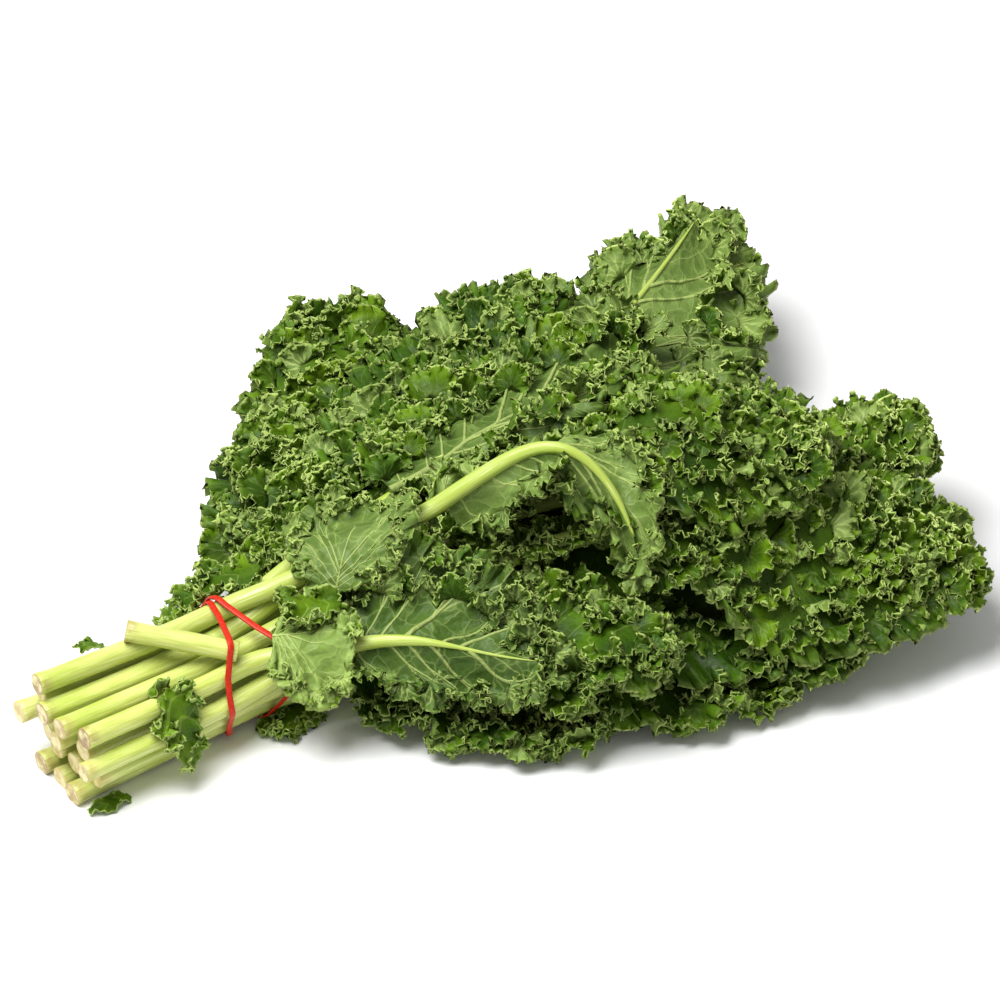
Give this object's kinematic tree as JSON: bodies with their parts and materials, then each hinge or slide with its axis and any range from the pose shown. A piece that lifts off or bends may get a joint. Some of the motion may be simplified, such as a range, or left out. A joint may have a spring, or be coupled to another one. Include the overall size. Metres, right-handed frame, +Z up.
{
  "type": "kale bunch",
  "caption": "Bunch of curly kale lying on its side: long pale stalks held by a doubled rubber band, with broad frilled green leaves fanning out beyond it.",
  "frame": {"origin": "on the surface that the bunch lies on, under the middle of its footprint", "axes": "+X along the bunch from the cut ends of the stalks to the leaf tips, +Z up from the surface, +Y to the left when looking from the cut ends to the tips"},
  "size_m": [0.4072, 0.3036, 0.1133],
  "materials": {
    "leaf_upper": "waxy satin dark green leaf, lighter at its frilled margin",
    "leaf_under": "matt pale green underside of a leaf with raised veins",
    "stalk": "smooth pale yellow-green stalk, finely ribbed, with a soft gloss",
    "band": "smooth orange-red rubber"
  },
  "bodies": {
    "root": {"stalk_01": "stalk", "stalk_02": "stalk", "stalk_03": "stalk", "stalk_04": "stalk", "stalk_05": "stalk", "stalk_06": "stalk", "stalk_07": "stalk", "stalk_08": "stalk", "stalk_09": "stalk", "stalk_10": "stalk", "stalk_11": "stalk", "stalk_12": "stalk", "stalk_13": "stalk", "stalk_14": "stalk", "stalk_15": "stalk", "stalk_16": "stalk", "stalk_17": "stalk", "blade_01": "leaf_upper", "blade_02": "leaf_upper", "blade_03": "leaf_upper", "blade_04": "leaf_upper", "blade_05": "leaf_upper", "blade_06": "leaf_upper", "blade_07": "leaf_upper", "blade_08": "leaf_upper", "blade_09": "leaf_under", "blade_10": "leaf_upper", "blade_11": "leaf_upper", "blade_12": "leaf_upper", "blade_13": "leaf_upper", "blade_14": "leaf_upper", "blade_15": "leaf_upper", "blade_16": "leaf_under", "blade_17": "leaf_under", "leaflet_1": "leaf_upper", "leaflet_2": "leaf_upper", "leaflet_3": "leaf_upper", "leaflet_4": "leaf_upper", "leaflet_5": "leaf_upper", "leaflet_6": "leaf_upper", "leaflet_7": "leaf_upper", "leaflet_8": "leaf_upper", "leaflet_9": "leaf_upper", "broken_piece": "stalk", "rubber_band": "band"}
  },
  "joints": []
}
